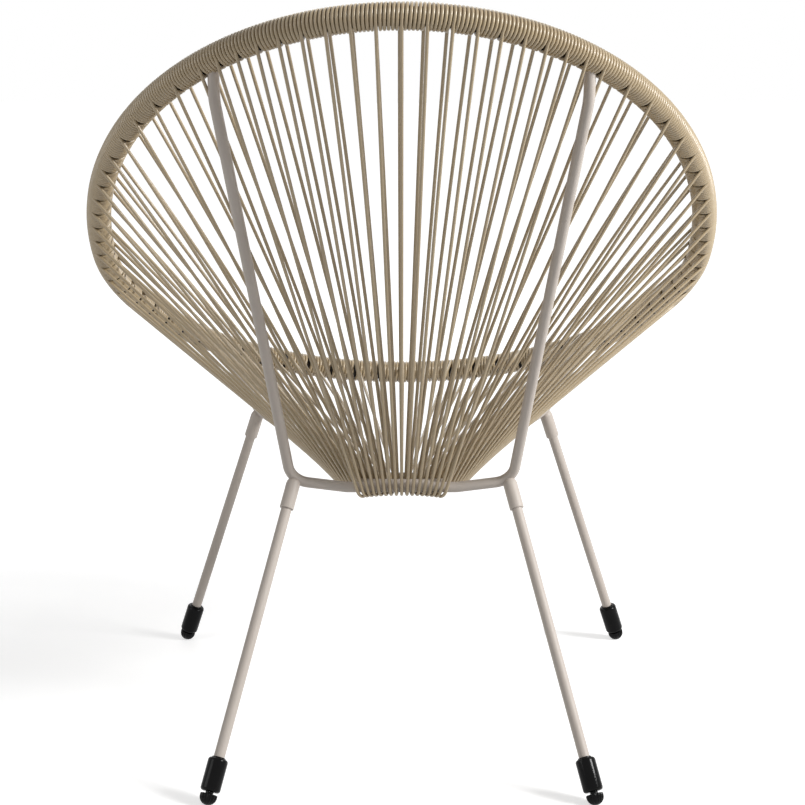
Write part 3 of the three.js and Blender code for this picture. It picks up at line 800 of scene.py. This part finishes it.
def lamp(name, place, size, watts):
    """A square soft lamp that faces the middle of the chair.

    It tilts by the angle between its line and the upright, and turns by the line's bearing and a
    quarter turn."""
    data = bpy.data.lights.new(name, "AREA")
    data.size, data.energy = size, watts
    made = bpy.data.objects.new(name, data)
    bpy.context.scene.collection.objects.link(made)
    made.location = place
    facing = unit(np.array(place) - lamp_aim)
    bearing = np.arctan2(facing[1], facing[0]) + np.pi / 2
    made.rotation_euler = (np.arccos(facing[2]), 0, bearing)


lamp("key", (-2.8, 1.0, 2.15), 1.0, 134)
lamp("fill", (2.8, 1.2, 1.6), 1.6, 21)
lamp("front", (0.4, -2.6, 2.0), 2.0, 18)

# %% [markdown]
# ## White surroundings
# The room is white where the camera looks, and also in what shines, but it lights the chair only
# faintly, so that the lamps do the shaping. The floor is pale and keeps the chair's soft shadow:
# it glows a little for the same rays, and less under the chair, where the lamps already reach it.

# %% White room and pale floor
room_light, floor_grey, floor_half = 0.16, 0.64, 9.0
glow_near, glow_growth, glow_gain = 0.56, 0.1, 0.38


def seen_by_camera(tree):
    """1 for the camera's rays, straight on or by way of a shiny or clear surface, 0 for others.

    It is the least of 1 and the sum of the three kinds of ray."""
    rays = tree.nodes.new("ShaderNodeLightPath")
    seen = Wire(rays.outputs["Is Camera Ray"]) + Wire(rays.outputs["Is Glossy Ray"])
    return (seen + Wire(rays.outputs["Is Transmission Ray"])).least(1.0)


world = bpy.data.worlds.new("white_room")
bpy.context.scene.world = world
world.use_nodes = True
air = world.node_tree.nodes["Background"]
air.inputs["Color"].default_value = (1, 1, 1, 1)
strength = room_light + seen_by_camera(world.node_tree) * (1 - room_light)
world.node_tree.links.new(strength.socket, air.inputs["Strength"])

floor_material = bpy.data.materials.new("pale_floor")
floor_material.use_nodes = True
floor_shader = floor_material.node_tree.nodes["Principled BSDF"]
floor_shader.inputs["Base Color"].default_value = (floor_grey, floor_grey, floor_grey, 1)
floor_shader.inputs["Roughness"].default_value = 0.9
floor_shader.inputs["Specular IOR Level"].default_value = 0.1
floor_place = Wire(floor_material.node_tree.nodes.new("ShaderNodeTexCoord").outputs["Object"])
distance = floor_place.node("ShaderNodeVectorMath", {0: floor_place}, output="Value",
                            operation="LENGTH")
glow = glow_near + (distance * glow_growth).least(glow_gain)
floor_material.node_tree.links.new(glow.socket, floor_shader.inputs["Emission Color"])
floor_material.node_tree.links.new(seen_by_camera(floor_material.node_tree).socket,
                                   floor_shader.inputs["Emission Strength"])
floor_corners = np.array([[-1, -1, 0], [1, -1, 0], [1, 1, 0], [-1, 1, 0]]) * floor_half
floor_mesh = bpy.data.meshes.new("floor")
floor_mesh.from_pydata(floor_corners.tolist(), [], [(0, 1, 2, 3)])
floor_mesh.materials.append(floor_material)
floor = bpy.data.objects.new("floor", floor_mesh)
bpy.context.scene.collection.objects.link(floor)
bpy.context.scene.view_settings.view_transform = "Standard"
print("floor", 2 * floor_half, "m square")
